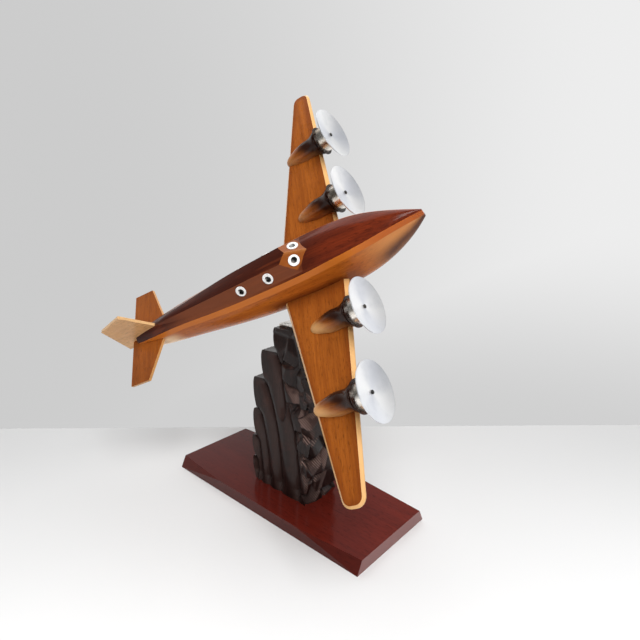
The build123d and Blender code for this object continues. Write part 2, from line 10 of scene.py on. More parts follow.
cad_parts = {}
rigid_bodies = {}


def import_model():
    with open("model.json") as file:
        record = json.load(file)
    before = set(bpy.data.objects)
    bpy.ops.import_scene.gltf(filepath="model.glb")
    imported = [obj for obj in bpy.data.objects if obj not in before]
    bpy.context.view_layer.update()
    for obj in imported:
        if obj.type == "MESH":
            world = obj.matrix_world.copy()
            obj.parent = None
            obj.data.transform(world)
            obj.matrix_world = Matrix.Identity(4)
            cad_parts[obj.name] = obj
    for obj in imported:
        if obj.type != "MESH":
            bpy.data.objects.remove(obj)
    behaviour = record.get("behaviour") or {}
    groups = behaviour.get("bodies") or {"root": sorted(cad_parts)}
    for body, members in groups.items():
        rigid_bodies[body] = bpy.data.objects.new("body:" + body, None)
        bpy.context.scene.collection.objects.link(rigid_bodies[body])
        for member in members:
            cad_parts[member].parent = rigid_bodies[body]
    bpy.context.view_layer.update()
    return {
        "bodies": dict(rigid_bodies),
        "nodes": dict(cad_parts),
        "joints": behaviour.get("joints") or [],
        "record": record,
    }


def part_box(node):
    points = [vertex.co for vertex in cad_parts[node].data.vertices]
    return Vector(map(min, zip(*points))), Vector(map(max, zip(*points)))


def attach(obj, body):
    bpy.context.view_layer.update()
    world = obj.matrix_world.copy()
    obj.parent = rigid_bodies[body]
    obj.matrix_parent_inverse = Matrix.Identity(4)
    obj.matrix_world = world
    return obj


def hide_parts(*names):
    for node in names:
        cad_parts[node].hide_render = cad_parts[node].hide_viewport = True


# Camera, lights and table are in metres, and all the other places and sizes in millimetres.
MM = 0.001

# ------------------------------------------------------------------ attitude
# The aircraft frame of the CAD part: X to the nose, Y to the left wing, Z out of the roof.
FLIGHT_POINT = Vector((34.5, 0.0, 240.7)) * MM
HEADING = 20.67
CLIMB = 24.1
BANK = 55.53
THRUST_TILT = 9.0

# -------------------------------------------------------------------- camera
CAMERA_PLACE = (0.34866, -0.33618, 0.31697)
CAMERA_HEADING = 42.308
CAMERA_PITCH = -14.795
CAMERA_ROLL = -0.340
CAMERA_LENS = 28.72
CAMERA_SENSOR = 36.0
CAMERA_NEAR_CLIP = 0.01

# ---------------------------------------------------------------- wood tones
AMBER = (0.365, 0.102, 0.014)
AMBER_DARK = (0.215, 0.052, 0.007)
PALE = (0.78, 0.43, 0.16)
WING_STAIN_AND_ROOT_SHADE = (0.17, 0.036, 0.006)
WING_BEVEL_HIGHLIGHT = (0.86, 0.5, 0.2)
FIN_LIGHT = (0.78, 0.46, 0.22)
FIN_DARK = (0.56, 0.29, 0.11)
FIN_EDGE_HIGHLIGHT = (0.66, 0.42, 0.2)
HULL_LIGHT = (0.54, 0.145, 0.016)
HULL_DARK = (0.34, 0.072, 0.008)
HULL_NOSE = (0.70, 0.29, 0.09)
HULL_BURST = (0.06, 0.022, 0.02)
HULL_KEEL_SHADE = (0.07, 0.018, 0.008)
HULL_WING_ROOT_SHADE = (0.1, 0.022, 0.006)
HULL_TAIL_HIGHLIGHT = (0.95, 0.68, 0.42)
STRIP_HIGHLIGHT = (0.60, 0.17, 0.022)
STRIP_NOSE = (0.44, 0.08, 0.008)
MAHOGANY = (0.165, 0.025, 0.008)
MAHOGANY_DARK = (0.07, 0.012, 0.006)
DECK_STAIN = (0.030, 0.0075, 0.0045)
DECK_STREAK_HIGHLIGHT = (0.2, 0.042, 0.014)
DECK_CHEEK = (0.27, 0.072, 0.022)
DECK_TAIL = (0.04, 0.008, 0.004)
SCREEN_FACET = (0.26, 0.072, 0.014)
SCREEN_RIDGE = (0.42, 0.16, 0.045)
NACELLE_DARK = (0.016, 0.006, 0.0045)
NACELLE_BELLY = (0.34, 0.17, 0.07)
BASE_LIGHT = (0.145, 0.016, 0.009)
BASE_DARK = (0.08, 0.009, 0.006)
BASE_SIDE_SHADE = (0.045, 0.012, 0.01)
BASE_FAR_SHADE = (0.04, 0.007, 0.006)
BASE_END_SHEEN = (0.34, 0.17, 0.16)
BEECH_LIGHT = (0.62, 0.42, 0.24)
BEECH_DARK = (0.45, 0.27, 0.13)
ROCK_LIGHT = (0.019, 0.0085, 0.007)
ROCK_DARK = (0.008, 0.004, 0.0035)
ROCK_WORN = (0.07, 0.026, 0.019)
ROCK_LIT = (0.12, 0.074, 0.064)
ROCK_LIT_HATCH = (0.5, 0.33, 0.28)
ROCK_SHEEN = (0.06, 0.034, 0.029)

# ------------------------------------------------- metals, enamel and table
NICKEL = [(0.26, (0.30, 0.24, 0.18)), (0.44, (0.68, 0.62, 0.54)), (0.62, (0.9, 0.86, 0.8))]
NICKEL_SPOT = (0.28, 0.22, 0.16)
MOUNT_LIGHT = (0.7, 0.68, 0.64)
MOUNT_DARK = (0.42, 0.38, 0.33)
STEEL_LIGHT = (0.62, 0.6, 0.56)
STEEL_DARK = (0.4, 0.38, 0.35)
BLACK_PIN_AND_HOLE_SHADE = (0.03, 0.03, 0.03)
PIN_WORN = (0.09, 0.08, 0.07)
DISC_COOL = (0.78, 0.80, 0.85)
DISC_SHEEN = (0.98, 0.985, 0.99)
DISC_SMEAR = (0.55, 0.58, 0.63)
DISC_RIM = (0.6, 0.61, 0.63)
ENAMEL = (0.87, 0.87, 0.86)
ENAMEL_WORN = (0.66, 0.65, 0.62)
BORE_SHADE = (0.012, 0.012, 0.012)
TABLE_FAR_SHADE = (0.66, 0.66, 0.66)
TABLE_CLOSE_LIT = (0.90, 0.90, 0.90)
TABLE_CLOUD = (0.72, 0.72, 0.72)


def turn(degrees, axis):
    return Matrix.Rotation(math.radians(degrees), 4, axis)


FLIGHT = Matrix.Translation(FLIGHT_POINT) @ turn(HEADING, "Z") @ turn(-CLIMB, "Y") @ turn(BANK, "X")


def axis_of(matrix, number):
    return tuple(matrix.col[number].to_3d().normalized())


# ------------------------------------------------------------ material maker
LACQUER_IOR = 1.5


class Surface:
    """Node graph of one material, with its coordinates in millimetres in a frame of its own."""

    def __init__(
        self, name, frame=Matrix.Identity(4), coat=0.0, coat_roughness=0.1, metallic=0.0, specular=0.2
    ):
        self.material = bpy.data.materials.new(name)
        self.material.use_nodes = True
        self.tree = self.material.node_tree
        self.shader = self.tree.nodes["Principled BSDF"]
        self.shader.inputs["Coat Weight"].default_value = coat
        self.shader.inputs["Coat Roughness"].default_value = coat_roughness
        self.shader.inputs["Metallic"].default_value = metallic
        self.shader.inputs["IOR"].default_value = LACQUER_IOR
        self.shader.inputs["Specular IOR Level"].default_value = specular
        source = self.add("ShaderNodeTexCoord")
        mapping = self.add("ShaderNodeMapping")
        mapping.vector_type = "TEXTURE"
        mapping.inputs["Location"].default_value = frame.to_translation()
        mapping.inputs["Rotation"].default_value = frame.to_euler("XYZ")
        mapping.inputs["Scale"].default_value = (MM, MM, MM)
        self.join(source.outputs["Object"], mapping.inputs["Vector"])
        self.place = mapping.outputs["Vector"]
        split = self.add("ShaderNodeSeparateXYZ")
        self.join(self.place, split.inputs[0])
        self.x, self.y, self.z = split.outputs

    def add(self, kind):
        return self.tree.nodes.new(kind)

    def join(self, source, socket):
        self.tree.links.new(source, socket)

    def feed(self, socket, value):
        if isinstance(value, bpy.types.NodeSocket):
            self.join(value, socket)
        elif isinstance(value, tuple) and socket.type == "RGBA":
            socket.default_value = (*value, 1.0)
        else:
            socket.default_value = value

    def math(self, operation, first, second=0.0):
        node = self.add("ShaderNodeMath")
        node.operation = operation
        self.feed(node.inputs[0], first)
        self.feed(node.inputs[1], second)
        return node.outputs[0]

    def plus(self, first, second):
        return self.math("ADD", first, second)

    def times(self, first, second):
        return self.math("MULTIPLY", first, second)

    def step(self, value, start, end, low=0.0, high=1.0):
        """Smooth step from low at start to high at end."""
        node = self.add("ShaderNodeMapRange")
        node.interpolation_type = "SMOOTHSTEP"
        for number, given in enumerate((value, start, end, low, high)):
            self.feed(node.inputs[number], given)
        return node.outputs[0]

    def curve(self, value, points):
        """Straight lines through (value, result) points, ends held."""
        start, end = points[0][0], points[-1][0]
        low = min(result for place, result in points)
        high = max(result for place, result in points)
        share = self.math("DIVIDE", self.math("SUBTRACT", value, start), end - start)
        node = self.add("ShaderNodeValToRGB")
        node.color_ramp.interpolation = "LINEAR"
        spots = node.color_ramp.elements
        while len(spots) < len(points):
            spots.new(0.5)
        for spot, (place, result) in zip(spots, points):
            spot.position = (place - start) / (end - start)
        for spot, (place, result) in zip(spots, points):
            level = (result - low) / (high - low)
            spot.color = (level, level, level, 1.0)
        self.join(share, node.inputs[0])
        split = self.add("ShaderNodeSeparateColor")
        self.join(node.outputs[0], split.inputs[0])
        return self.plus(self.times(split.outputs[0], high - low), low)

    def mix(self, share, first, second):
        node = self.add("ShaderNodeMix")
        node.data_type = "RGBA"
        self.feed(node.inputs["Factor"], share)
        self.feed(node.inputs[6], first)
        self.feed(node.inputs[7], second)
        return node.outputs[2]

    def ramp(self, value, stops):
        node = self.add("ShaderNodeValToRGB")
        spots = node.color_ramp.elements
        while len(spots) < len(stops):
            spots.new(0.5)
        for spot, (place, colour) in zip(spots, stops):
            spot.position = place
            spot.color = (*colour, 1.0)
        self.join(value, node.inputs[0])
        return node.outputs[0]

    def stretched(self, scale, order="XYZ", offset=(0, 0, 0)):
        """The surface's millimetres, axes put in another order, scaled and shifted."""
        axes = {"X": self.x, "Y": self.y, "Z": self.z}
        join = self.add("ShaderNodeCombineXYZ")
        for socket, letter, factor, shift in zip(join.inputs, order, scale, offset):
            self.join(self.plus(self.times(axes[letter], factor), shift), socket)
        return join.outputs[0]

    def noise(self, vector, scale=1.0, detail=3.0, roughness=0.5, distortion=0.0):
        node = self.add("ShaderNodeTexNoise")
        self.join(vector, node.inputs["Vector"])
        node.inputs["Scale"].default_value = scale
        node.inputs["Detail"].default_value = detail
        node.inputs["Roughness"].default_value = roughness
        node.inputs["Distortion"].default_value = distortion
        return node.outputs[0]

    def facing(self, direction):
        """Cosine between the surface's normal and a fixed direction."""
        geometry = self.add("ShaderNodeNewGeometry")
        node = self.add("ShaderNodeVectorMath")
        node.operation = "DOT_PRODUCT"
        self.join(geometry.outputs["Normal"], node.inputs[0])
        node.inputs[1].default_value = direction
        return node.outputs["Value"]

    def bump(self, height, depth_mm, strength=1.0):
        node = self.add("ShaderNodeBump")
        node.inputs["Strength"].default_value = strength
        node.inputs["Distance"].default_value = depth_mm * MM
        self.join(height, node.inputs["Height"])
        self.join(node.outputs[0], self.shader.inputs["Normal"])

    def finish(self, colour, roughness):
        self.feed(self.shader.inputs["Base Color"], colour)
        self.feed(self.shader.inputs["Roughness"], roughness)
        return self.material


# --------------------------------------------------------------------- woods
# Noise cells per millimetre, along and across the grain.
FIGURE_ALONG = 0.012
BANDS_ALONG = 0.8 * FIGURE_ALONG
BANDS_PER_FIGURE = 5
FIBRE_ALONG = 0.05
FIBRE_ACROSS = 1.2
PORE_ALONG = 0.14
PORE_ACROSS = 0.62 * FIBRE_ACROSS
# How much each layer adds to the tone, and where the tone turns from light to dark.
FIGURE_SHARE = 0.32
BANDS_SHARE = 0.38
FIBRE_SHARE = 0.43
TONE_MIDDLE = 0.565
TONE_SPREAD = 0.16
PORE_TONE = 0.45
GRAIN_RELIEF = 0.05
GRAIN_BUMP = 0.35


def grain(surface, order, seed, band=0.09):
    """Figure, bands, fibres and pores of wood that grows along the first axis of the order."""
    offset = (seed, 3.1 * seed, 7.7 * seed)

    def layer(along, across, detail, roughness, distortion=0.0):
        vector = surface.stretched((along, across, across), order, offset)
        return surface.noise(vector, 1.0, detail, roughness, distortion)

    figure = layer(FIGURE_ALONG, band, 2.0, 0.45, 0.6)
    bands = layer(BANDS_ALONG, band * BANDS_PER_FIGURE, 2.0, 0.7, 0.2)
    fibres = layer(FIBRE_ALONG, FIBRE_ACROSS, 4.0, 0.65)
    pores = layer(PORE_ALONG, PORE_ACROSS, 2.0, 0.7)
    return figure, bands, fibres, pores


def wood_colour(surface, parts, light, dark, contrast=1.0):
    figure, bands, fibres, pores = parts
    tone = surface.plus(surface.times(figure, FIGURE_SHARE), surface.times(bands, BANDS_SHARE))
    tone = surface.plus(tone, surface.times(fibres, FIBRE_SHARE))
    half = TONE_SPREAD / contrast
    share = surface.step(tone, TONE_MIDDLE - half, TONE_MIDDLE + half, 0.0, 0.85)
    colour = surface.mix(share, light, dark)
    pore = surface.step(pores, 0.54, 0.72, 0.0, 0.6)
    return surface.mix(pore, colour, tuple(PORE_TONE * value for value in dark))


def lacquered(surface, parts, low=0.2, high=0.36):
    """Roughness and bump of lacquer over wood: smooth, with the grain just showing through."""
    fibres, pores = parts[2:]
    haze = surface.noise(surface.place, 0.06, 3.0, 0.6)
    roughness = surface.plus(surface.times(haze, high - low), surface.times(fibres, 0.1))
    relief = surface.plus(surface.times(fibres, 0.6), surface.times(pores, 0.4))
    surface.bump(relief, GRAIN_RELIEF, GRAIN_BUMP)
    return surface.plus(roughness, low - 0.05)


# The wing's outline in the flight frame: X of each edge at the middle, and its drift per Y.
HALF_SPAN = 207.0
LEADING_ROOT = 36.0
LEADING_DRIFT = -0.056
TRAILING_ROOT = -36.0
TRAILING_DRIFT = 0.2058


def wing_wood(name, side):
    surface = Surface(name, FLIGHT, coat=0.12, coat_roughness=0.16, specular=0.12)
    parts = grain(surface, "YXZ", 3.0 + side)
    colour = wood_colour(surface, parts, AMBER, AMBER_DARK)
    span = surface.math("ABSOLUTE", surface.y)
    front = surface.plus(surface.times(span, LEADING_DRIFT), LEADING_ROOT)
    back = surface.plus(surface.times(span, TRAILING_DRIFT), TRAILING_ROOT)
    leading = surface.math("SUBTRACT", front, surface.x)
    trailing = surface.math("SUBTRACT", surface.x, back)
    tip = surface.math("SUBTRACT", HALF_SPAN, span)
    rim = surface.math("MINIMUM", surface.math("MINIMUM", leading, trailing), tip)
    stain = surface.step(rim, 2.6, 9.5, 0.6, 0.0)
    # Darker towards the root, where the wing meets the hull: the stain's burst, and painted shade in
    # the joint.
    root = surface.step(span, 22.0, 46.0, 0.6, 0.0)
    colour = surface.mix(surface.math("MAXIMUM", stain, root), colour, WING_STAIN_AND_ROOT_SHADE)
    # Painted highlight: the bevels and edges, turned away from the flat faces, are painted pale.
    flat = surface.math("ABSOLUTE", surface.facing(axis_of(FLIGHT, 2)))
    bevel_highlight = surface.step(flat, 0.86, 0.97, 0.8, 0.0)
    colour = surface.mix(bevel_highlight, colour, WING_BEVEL_HIGHLIGHT)
    return surface.finish(colour, lacquered(surface, parts))


def tail_wood(name, order, light, dark, edge):
    surface = Surface(name, FLIGHT, coat=0.15, coat_roughness=0.12, specular=0.12)
    parts = grain(surface, order, 11.0)
    colour = wood_colour(surface, parts, light, dark)
    normal = axis_of(FLIGHT, 2 if order[0] == "Y" else 1)
    flat = surface.math("ABSOLUTE", surface.facing(normal))
    # Painted highlight: the edges, turned away from the flat sides, are painted in the edge colour.
    colour = surface.mix(surface.step(flat, 0.5, 0.9, 0.6, 0.0), colour, edge)
    return surface.finish(colour, lacquered(surface, parts))


# Height of the seam between hull and deck, along the flight axis.
SEAM = [(-213, 12.4), (-182, 17.4), (-143, 21.8), (-104, 23.6), (-65, 25.6), (-26, 28.3), (13, 30.6)]
SEAM += [(44, 32.0), (65, 31.2), (83, 28.8), (99, 25.2), (114, 20.8)]
# Depth of the hull from the seam down to the keel, along the flight axis.
HULL_DEPTH = [(44, 51.0), (65, 46.2), (83, 37.8), (99, 25.6), (109, 15.0), (114, 9.2)]


def hull_wood():
    surface = Surface("hull_wood", FLIGHT, coat=0.14, coat_roughness=0.1, specular=0.1)
    parts = grain(surface, "XYZ", 5.0, band=0.07)
    colour = wood_colour(surface, parts, HULL_LIGHT, HULL_DARK)
    nose = surface.step(surface.x, 46.0, 84.0, 0.0, 0.8)
    colour = surface.mix(nose, colour, HULL_NOSE)
    below = surface.math("SUBTRACT", surface.curve(surface.x, SEAM), surface.z)
    ahead = surface.step(surface.x, 52.0, 82.0)
    depth = surface.math("DIVIDE", below, surface.curve(surface.x, HULL_DEPTH))
    low_side = surface.times(surface.step(depth, 0.27, 0.66), ahead)
    tip = surface.step(surface.x, 103.0, 114.0, 0.0, 0.85)
    burst = surface.math("MAXIMUM", low_side, tip)
    blotch = surface.noise(surface.stretched((0.02, 0.05, 0.05)), 1.0, 2.0)
    burst = surface.times(burst, surface.step(blotch, 0.2, 0.62, 0.55, 1.0))
    colour = surface.mix(surface.times(burst, 0.92), colour, HULL_BURST)
    # Painted shade: the lower hull under the wing, aft of its leading edge, is painted darker.
    keel_shade = surface.times(surface.step(below, 30.0, 44.0), surface.step(surface.x, 60.0, 20.0))
    colour = surface.mix(surface.times(keel_shade, 0.6), colour, HULL_KEEL_SHADE)
    # Painted shade on the hull where the wing joins it.
    wing_x = surface.step(surface.math("ABSOLUTE", surface.x), 56.0, 30.0)
    wing_z = surface.step(surface.math("ABSOLUTE", surface.z), 14.0, 4.0)
    wing_root_shade = surface.times(wing_x, wing_z)
    colour = surface.mix(surface.times(wing_root_shade, 0.75), colour, HULL_WING_ROOT_SHADE)
    # Painted highlight: the lower part of the hull's tail is painted pale.
    tail = surface.times(surface.step(surface.x, -150.0, -176.0), surface.step(below, 3.0, 12.0))
    colour = surface.mix(surface.times(tail, 0.9), colour, HULL_TAIL_HIGHLIGHT)
    # The strip under the seam: a painted highlight along the sides, and a deeper orange at the nose.
    strip = surface.step(below, 6.4, 5.0)
    band = surface.mix(nose, STRIP_HIGHLIGHT, STRIP_NOSE)
    colour = surface.mix(surface.times(strip, 0.9), colour, band)
    return surface.finish(colour, lacquered(surface, parts, 0.16, 0.3))


def deck_wood():
    surface = Surface("deck_wood", FLIGHT, coat=0.1, coat_roughness=0.08, specular=0.08)
    parts = grain(surface, "XYZ", 8.0, band=0.1)
    colour = wood_colour(surface, parts, MAHOGANY, MAHOGANY_DARK, 0.9)
    aft = surface.step(surface.x, 40.0, -6.0)
    colour = surface.mix(surface.times(aft, 0.8), colour, DECK_STAIN)
    # Painted highlights: long pale streaks along the aft deck.
    streak = surface.noise(surface.stretched((0.006, 0.2, 0.2), "XYZ", (2, 5, 9)), 1.0, 2.0, 0.6)
    streak_highlight = surface.times(surface.step(streak, 0.52, 0.66), aft)
    colour = surface.mix(surface.times(streak_highlight, 0.3), colour, DECK_STREAK_HIGHLIGHT)
    up = surface.facing(axis_of(FLIGHT, 2))
    cheek = surface.times(surface.step(up, 0.93, 0.8), surface.step(surface.x, 12.0, 2.0))
    cheek = surface.times(cheek, surface.step(surface.x, -185.0, -120.0))
    colour = surface.mix(surface.times(cheek, 0.55), colour, DECK_CHEEK)
    tail = surface.step(surface.x, -176.0, -205.0)
    colour = surface.mix(surface.times(tail, 0.7), colour, DECK_TAIL)
    screen = screen_mask(surface)
    ridge = surface.step(surface.math("ABSOLUTE", surface.y), 0.3, 2.4, 0.5, 0.0)
    patch = surface.mix(ridge, SCREEN_FACET, SCREEN_RIDGE)
    colour = surface.mix(surface.times(screen, 0.9), colour, patch)
    return surface.finish(colour, lacquered(surface, parts, 0.12, 0.24))


# Slope of the windscreen's facets, and the height over which its colour begins.
SCREEN_SLOPE = 0.4313
SCREEN_FOOT = (33.2, 34.2)


def screen_mask(surface):
    """1 on the two windscreen facets, 0 elsewhere."""
    found = []
    for side in (-1, 1):
        facet = (FLIGHT.to_3x3() @ Vector((SCREEN_SLOPE, side * SCREEN_SLOPE, 1))).normalized()
        found.append(surface.step(surface.facing(tuple(facet)), 0.99, 0.997))
    either = surface.math("MAXIMUM", *found)
    return surface.times(either, surface.step(surface.z, *SCREEN_FOOT))


# Hubs of the left engines in the flight frame; the right ones mirror them.
HUBS = {"inner": (48.9, 58.2, 11.5), "outer": (44.7, 129.5, 14.0)}


def engine_frame(side, place):
    x, y, z = HUBS[place]
    point = Vector((x, side * y, z)) * MM
    return FLIGHT @ Matrix.Translation(point) @ turn(-THRUST_TILT, "Y")


# How far the dark spray of each side's nacelles leans over, and how pale their tails are.
NACELLE_SPRAY = {"left": (0.45, 0.3), "right": (1.15, 0.75)}


def nacelle_wood(name, frame, seed, slope, pale):
    surface = Surface(name, frame, coat=0.18, coat_roughness=0.1, specular=0.12)
    parts = grain(surface, "XYZ", seed)
    colour = wood_colour(surface, parts, AMBER, AMBER_DARK)
    wander = surface.noise(surface.stretched((0.03, 0.12, 0.12), "XYZ", (seed, 0, seed)), 1.0, 2.0)
    edge = surface.plus(surface.x, surface.times(surface.math("SUBTRACT", wander, 0.5), 12.0))
    slant = surface.plus(surface.times(surface.y, slope), surface.times(surface.z, 0.5))
    place = surface.plus(edge, slant)
    top = surface.step(surface.facing(axis_of(frame, 2)), -0.6, -0.3)
    tail = surface.step(place, -32.0, -50.0, 0.0, pale)
    colour = surface.mix(surface.times(tail, top), colour, PALE)
    dark = surface.step(place, -40.0, -22.0, 0.0, 0.97)
    colour = surface.mix(dark, colour, NACELLE_DARK)
    low = surface.step(slant, -3.5 * slope, -9.5 * slope)
    middle = surface.step(surface.math("ABSOLUTE", surface.plus(surface.x, 30.0)), 18.0, 4.0, 0.0, 0.45)
    colour = surface.mix(surface.times(low, middle), colour, NACELLE_BELLY)
    return surface.finish(colour, lacquered(surface, parts, 0.14, 0.28))


def base_wood():
    surface = Surface("base_mahogany", coat=0.22, coat_roughness=0.05, specular=0.1)
    parts = grain(surface, "XYZ", 17.0, band=0.06)
    colour = wood_colour(surface, parts, BASE_LIGHT, BASE_DARK, 0.6)
    up = surface.facing((0, 0, 1))
    # Painted shade: the bevels and sides, facing away from up, are painted darker.
    colour = surface.mix(surface.step(up, 0.98, 0.7, 0.0, 0.45), colour, BASE_SIDE_SHADE)
    # Painted shade: the top is painted darker towards its left end.
    far = surface.times(surface.step(surface.x, 90.0, -70.0), surface.step(up, 0.7, 0.98))
    colour = surface.mix(surface.times(far, 0.6), colour, BASE_FAR_SHADE)
    # Painted sheen: the end face towards +X is painted a paler, greyer pink.
    end = surface.facing((1, 0, 0))
    colour = surface.mix(surface.step(end, 0.4, 0.75, 0.0, 0.6), colour, BASE_END_SHEEN)
    return surface.finish(colour, lacquered(surface, parts, 0.12, 0.26))


def plain_beech():
    surface = Surface("dowel_beech")
    parts = grain(surface, "XYZ", 23.0)
    colour = wood_colour(surface, parts, BEECH_LIGHT, BEECH_DARK)
    return surface.finish(colour, lacquered(surface, parts, 0.5, 0.7))


# -------------------------------------------------------------------- metals
def collar_metal(name, frame, seed):
    surface = Surface(name, frame, metallic=1.0)
    drawn_out = surface.stretched((0.05, 0.13, 0.13), "XYZ", (seed, seed, 0))
    around = surface.noise(drawn_out, 1.0, 3.0, 0.5, 0.3)
    spots = surface.noise(surface.place, 0.9, 3.0, 0.7)
    colour = surface.ramp(around, NICKEL)
    colour = surface.mix(surface.step(spots, 0.55, 0.8, 0.0, 0.35), colour, NICKEL_SPOT)
    roughness = surface.step(spots, 0.3, 0.7, 0.2, 0.42)
    surface.bump(spots, 0.08, 0.4)
    return surface.finish(colour, roughness)


DISC_RIM_START = 23.6
DISC_RIM_END = 24.4
SPIN_RINGS = 2.6  # noise cells per millimetre of radius


def radius_of(surface, first, second):
    """Distance from the frame's third axis, given the places along the other two."""
    across = surface.plus(surface.times(first, first), surface.times(second, second))
    return surface.math("SQRT", across)


def disc_metal(name, frame, seed):
    """Satin aluminium, spun: fine rings about the hub, and soft wedges of sheen painted into the
    colour.
    """
    surface = Surface(name, frame, metallic=0.75)
    radius = radius_of(surface, surface.y, surface.z)
    angle = surface.math("ARCTAN2", surface.z, surface.y)
    rings = surface.add("ShaderNodeTexNoise")
    rings.noise_dimensions = "1D"
    surface.join(radius, rings.inputs["W"])
    rings.inputs["Scale"].default_value = SPIN_RINGS
    rings.inputs["Detail"].default_value = 4.0
    sheen_wedge = surface.math("SINE", surface.plus(surface.times(angle, 2.0), seed))
    sheen_wedge = surface.plus(surface.times(sheen_wedge, 0.5), 0.5)
    smear = surface.noise(surface.place, 0.07, 3.0, 0.6)
    colour = surface.mix(sheen_wedge, DISC_COOL, DISC_SHEEN)
    colour = surface.mix(surface.step(smear, 0.45, 0.75, 0.0, 0.25), colour, DISC_SMEAR)
    rim = surface.step(radius, DISC_RIM_START, DISC_RIM_END, 0.0, 0.35)
    colour = surface.mix(rim, colour, DISC_RIM)
    roughness = surface.plus(surface.times(rings.outputs[0], 0.16), surface.times(smear, 0.12))
    surface.bump(rings.outputs[0], 0.06, 0.55)
    return surface.finish(colour, surface.plus(roughness, 0.24))


def worn_metal(name, light, dark, low, high):
    surface = Surface(name, metallic=1.0)
    cloud = surface.noise(surface.place, 0.5, 4.0, 0.6)
    scratch = surface.noise(surface.stretched((0.3, 4.0, 4.0)), 1.0, 2.0)
    colour = surface.mix(surface.step(cloud, 0.35, 0.7), light, dark)
    surface.bump(surface.plus(cloud, scratch), 0.04, 0.5)
    return surface.finish(colour, surface.step(cloud, 0.3, 0.7, low, high))


def turned_frame(part):
    """Frame at the middle of a turned part, with Z along its axis and out of the aircraft's roof."""
    spots = np.array([vertex.co for vertex in part.data.vertices])
    middle = (spots.min(axis=0) + spots.max(axis=0)) / 2
    weights, axes = np.linalg.eigh(np.cov((spots - spots.mean(axis=0)).T))
    odd = 0 if weights[1] - weights[0] > weights[2] - weights[1] else 2
    axis = Vector(axes[:, odd])
    if axis.dot(Vector(axis_of(FLIGHT, 2))) < 0:
        axis = -axis
    return Matrix.Translation(middle) @ axis.to_track_quat("Z", "Y").to_matrix().to_4x4()


HOLE_SIDES = 40
HOLE_RADIUS = 2.45
HOLE_DISH = 0.12
HOLE_DEPTH = 2.0
BORE_RADIUS = 2.6
BORE_EDGE = 2.75


def eyelet_shadow(name, seat):
    """Dark, dished disc at the bottom of a drilled window: painted shade in the hole."""
    mesh = bpy.data.meshes.new(name)
    shape = bmesh.new()
    bmesh.ops.create_circle(
        shape, cap_ends=True, cap_tris=True, segments=HOLE_SIDES, radius=HOLE_RADIUS * MM
    )
    for vertex in shape.verts:
        reach = vertex.co.xy.length / MM
        vertex.co.z = (HOLE_DISH * reach ** 2 - HOLE_DEPTH) * MM
    shape.to_mesh(mesh)
    shape.free()
    mesh.transform(seat)
    mesh.shade_smooth()
    piece = bpy.data.objects.new(name, mesh)
    bpy.context.collection.objects.link(piece)
    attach(piece, "root")
    return piece


def eyelet_enamel(name, seat):
    surface = Surface(name, seat, coat=0.5, coat_roughness=0.1)
    cloud = surface.noise(surface.place, 0.8, 3.0)
    colour = surface.mix(surface.step(cloud, 0.45, 0.75), ENAMEL, ENAMEL_WORN)
    # Painted shade: the bore inside the ring is painted near-black.
    bore_shade = surface.step(radius_of(surface, surface.x, surface.y), BORE_EDGE, BORE_RADIUS)
    colour = surface.mix(bore_shade, colour, BORE_SHADE)
    surface.bump(cloud, 0.05, 0.4)
    return surface.finish(colour, surface.step(cloud, 0.3, 0.7, 0.22, 0.4))


# ---------------------------------------------------------------- carved rock
ROCK_STEPS = [(-37.0, 39.0), (-36.0, 64.0), (-33.0, 95.0), (-31.0, 130.0), (-18.0, 161.0), (0.0, 187.0)]
STEP_NOTCH = 4.5
STEP_BROW = 2.0
BELLY_SHARE = 0.7
LEFT_INSET = 0.6
LEFT_BULGE = 2.2
LEFT_RIPPLE = 0.7
ROCK_CELL = 1.0  # spacing of the sculpted mesh, in millimetres
# Flutes down the front: x and z where each starts, z where it ends, and its run to the right.
FLUTES = [
    (-28.5, 62.0, 14.0, 7.0),
    (-25.0, 94.0, 14.0, 17.0),
    (-17.0, 129.0, 14.0, 26.0),
    (2.0, 163.0, 98.0, 14.0),
    (16.0, 112.0, 16.0, 18.0),
    (-32.0, 38.0, 14.0, 3.0),
]
FLUTE_BEND = 50.0
FLUTE_DEPTH = 8.5
FLUTE_WIDTH = 3.0
FLUTE_FLOOR = 0.4
# How far a flute runs past its ends, and the length it fades out over, above and below.
FLUTE_ABOVE, FADE_ABOVE = 4, 9.0
FLUTE_BELOW, FADE_BELOW = 6, 14.0
# Right, front and back faces at the foot, and how far each leans in by the top.
RIGHT_FACE, RIGHT_LEAN = 45.0, 2.0
FRONT_FACE, FRONT_LEAN = -23.4, 2.4
BACK_FACE, BACK_LEAN = 23.4, 13.4
# Seed and width of each face's blocks.
FRONT_BLOCKS = (4, 90)
RIGHT_BLOCKS = (9, 50)
BACK_BLOCKS = (15, 90)
BLOCK_HEIGHT = 9.0
BACK_BLOCK_HEIGHT = 8.5
BLOCK_REACH_U = 26
BLOCK_REACH_Z = 30
# Border between flutes and blocks on the front: its X at one height, and how far it runs right
# over a drop.
BORDER_X, BORDER_Z = 6.0, 160.0
BORDER_RUN, BORDER_DROP = 40.0, 147.0
BORDER_SOFT = 6.0
SUMMIT_FADE_END = 172.0
SUMMIT_FADE_LENGTH = 22.0
SUMMIT_FADE_LEAST = 0.25
BACK_BORDER_X = 4.0
BACK_BORDER_SOFT = 14.0
CELLS_ACROSS = 84
CELLS_DEEP = 46
ROCK_SHARP_ANGLE = 38
WELD_REACH = 0.02


